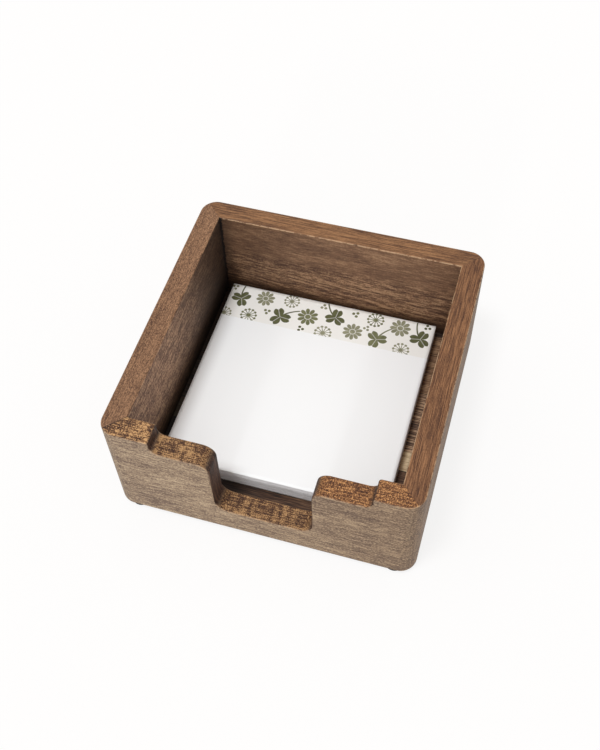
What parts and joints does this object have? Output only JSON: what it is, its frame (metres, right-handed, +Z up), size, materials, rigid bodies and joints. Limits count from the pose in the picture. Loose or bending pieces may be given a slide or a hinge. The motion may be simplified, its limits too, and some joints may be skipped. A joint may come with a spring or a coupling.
{
  "type": "memo pad holder",
  "caption": "Open square wooden box with a stepped thumb cut-out in its front wall, holding a pad of square memo sheets that lifts out.",
  "frame": {"origin": "on the table, under the middle of the box, level with the undersides of the feet", "axes": "+Z up, +Y towards the back wall, -Y towards the front wall with the cut-out, +X to the right"},
  "size_m": [0.1334, 0.1334, 0.0591],
  "materials": {
    "wall_wood": "satin",
    "floor_wood": "satin",
    "foot_rubber": "matte",
    "white_paper": "matte",
    "grey_board": "matte",
    "padding_glue": "satin"
  },
  "bodies": {
    "box": {"front_wall": "wall_wood", "back_wall": "wall_wood", "left_wall": "wall_wood", "right_wall": "wall_wood", "floor_board_front": "floor_wood", "floor_board_middle": "floor_wood", "floor_board_back": "floor_wood", "foot_front_left": "foot_rubber", "foot_front_right": "foot_rubber", "foot_back_left": "foot_rubber", "foot_back_right": "foot_rubber"},
    "memo_pad": {"pad_backing_board": "grey_board", "pad_sheet_block": "white_paper", "pad_gum_strip": "padding_glue"},
    "top_sheet": {"pad_top_sheet": "white_paper"}
  },
  "joints": [
    {"name": "pad_lift", "type": "slide", "parent": "box", "child": "memo_pad", "axis": [0, 0, 1], "range_m": [0, 0.06]},
    {"name": "sheet_turn", "type": "hinge", "parent": "memo_pad", "child": "top_sheet", "pos_m": [-0.0011, 0.0536, 0.0169], "axis": [-1, 0, 0], "range_deg": [0, 93]}
  ]
}
